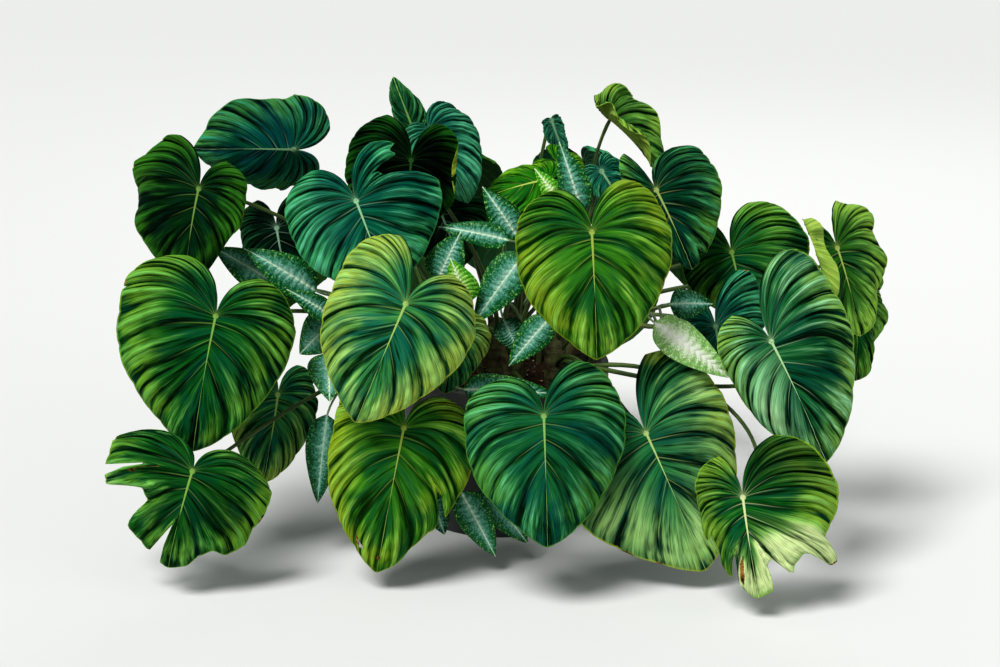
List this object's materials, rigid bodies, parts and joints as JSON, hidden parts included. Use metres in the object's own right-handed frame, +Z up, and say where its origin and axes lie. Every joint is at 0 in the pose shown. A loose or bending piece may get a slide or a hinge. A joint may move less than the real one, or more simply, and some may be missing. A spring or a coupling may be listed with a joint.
{
  "type": "potted heart-leaved ribbed philodendron with silver-marked aglaonema",
  "caption": "Bushy aroid house plant in a round pot: large ribbed heart-shaped philodendron leaves on arching stalks, with smaller silver-marked aglaonema leaves between them.",
  "frame": {"origin": "centre of the pot's flat base", "axes": "+Z up, the plant's best side faces -Y, +X to the right of that side"},
  "size_m": [1.3484, 0.9056, 0.803],
  "materials": {
    "leaf": "satin green leaf with pale veins",
    "spotted_leaf": "satin green leaf with silver-grey markings",
    "crown": "dull brown-green scarred stem",
    "soil": "rough dark potting soil",
    "pot": "plain matt charcoal"
  },
  "bodies": {
    "root": {"pot": "pot", "soil": "soil", "crown_west": "crown", "crown_front_west": "crown", "crown_middle": "crown", "crown_front": "crown", "crown_back": "crown", "crown_front_east": "crown", "crown_east": "crown", "leaf_west_high": "leaf", "leaf_northwest_flat": "leaf", "leaf_left_shaded": "leaf", "leaf_low_left_shaded": "leaf", "leaf_back_west": "leaf", "leaf_back_left": "leaf", "leaf_west_middle": "leaf", "leaf_upper_left": "leaf", "leaf_centre_left": "leaf", "leaf_low_left": "leaf", "leaf_low_west_torn": "leaf", "leaf_hooded_dark": "leaf", "leaf_top_teal": "leaf", "leaf_young_spear": "leaf", "leaf_centre_shaded": "leaf", "leaf_top_lime": "leaf", "leaf_back_high_left": "leaf", "leaf_behind_centre": "leaf", "leaf_low_centre": "leaf", "leaf_centre_bright": "leaf", "leaf_top_rolled": "leaf", "leaf_top_middle": "leaf", "leaf_back_middle": "leaf", "leaf_back_right": "leaf", "leaf_back_high_right": "leaf", "leaf_low_right": "leaf", "leaf_low_east_torn": "leaf", "leaf_right_teal": "leaf", "leaf_east_middle": "leaf", "leaf_upper_right": "leaf", "leaf_top_tall": "leaf", "leaf_top_small": "leaf", "leaf_right_round": "leaf", "leaf_east_high": "leaf", "leaf_east_low": "leaf", "leaf_back_east": "leaf", "spotted_west": "spotted_leaf", "spotted_low_west": "spotted_leaf", "spotted_centre": "spotted_leaf", "spotted_centre_high": "spotted_leaf", "spotted_east": "spotted_leaf", "spotted_front": "spotted_leaf", "spotted_back": "spotted_leaf"}
  },
  "joints": []
}
